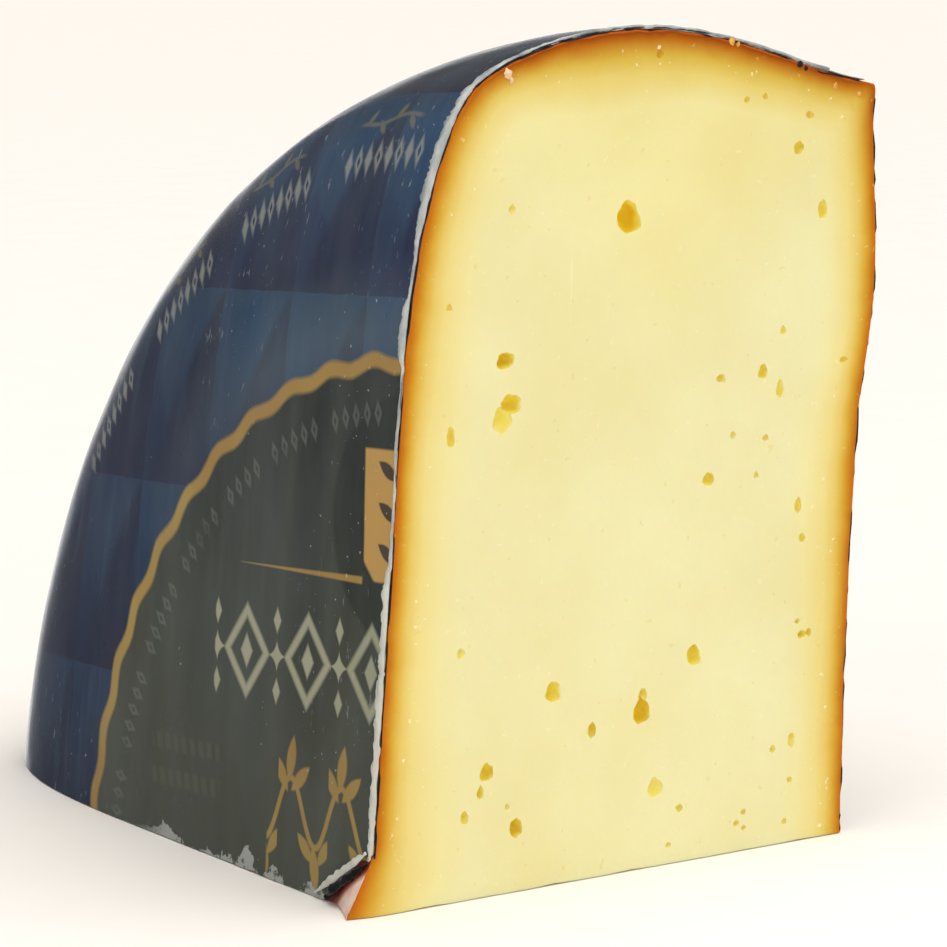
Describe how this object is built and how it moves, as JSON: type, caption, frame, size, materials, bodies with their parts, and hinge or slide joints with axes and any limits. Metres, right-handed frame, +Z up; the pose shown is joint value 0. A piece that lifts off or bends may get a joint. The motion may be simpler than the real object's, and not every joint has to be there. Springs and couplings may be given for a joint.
{
  "type": "cheese wedge",
  "caption": "Quarter of an aged cheese wheel standing on a cut face, pale yellow paste with small eyes, orange rind, dark coating and a torn blue film label.",
  "frame": {"origin": "middle of the base, on the surface that the wedge stands on", "axes": "+Z up; X runs along the wheel's thickness, with the labelled front flat towards -X; the upright cut face looks towards -Y and the round rim towards +Y and +Z"},
  "size_m": [0.1166, 0.1614, 0.1575],
  "materials": {
    "paste_and_rind": "moist, slightly translucent cut paste, pale yellow and turning orange-brown towards the rind",
    "coating": "thin dark breathing coating, satin",
    "label_film": "glossy printed film, dark blue with a grey-green disc and a gold border"
  },
  "bodies": {
    "root": {"cheese": "paste_and_rind", "rind_coating": "coating", "front_label": "label_film"}
  },
  "joints": []
}
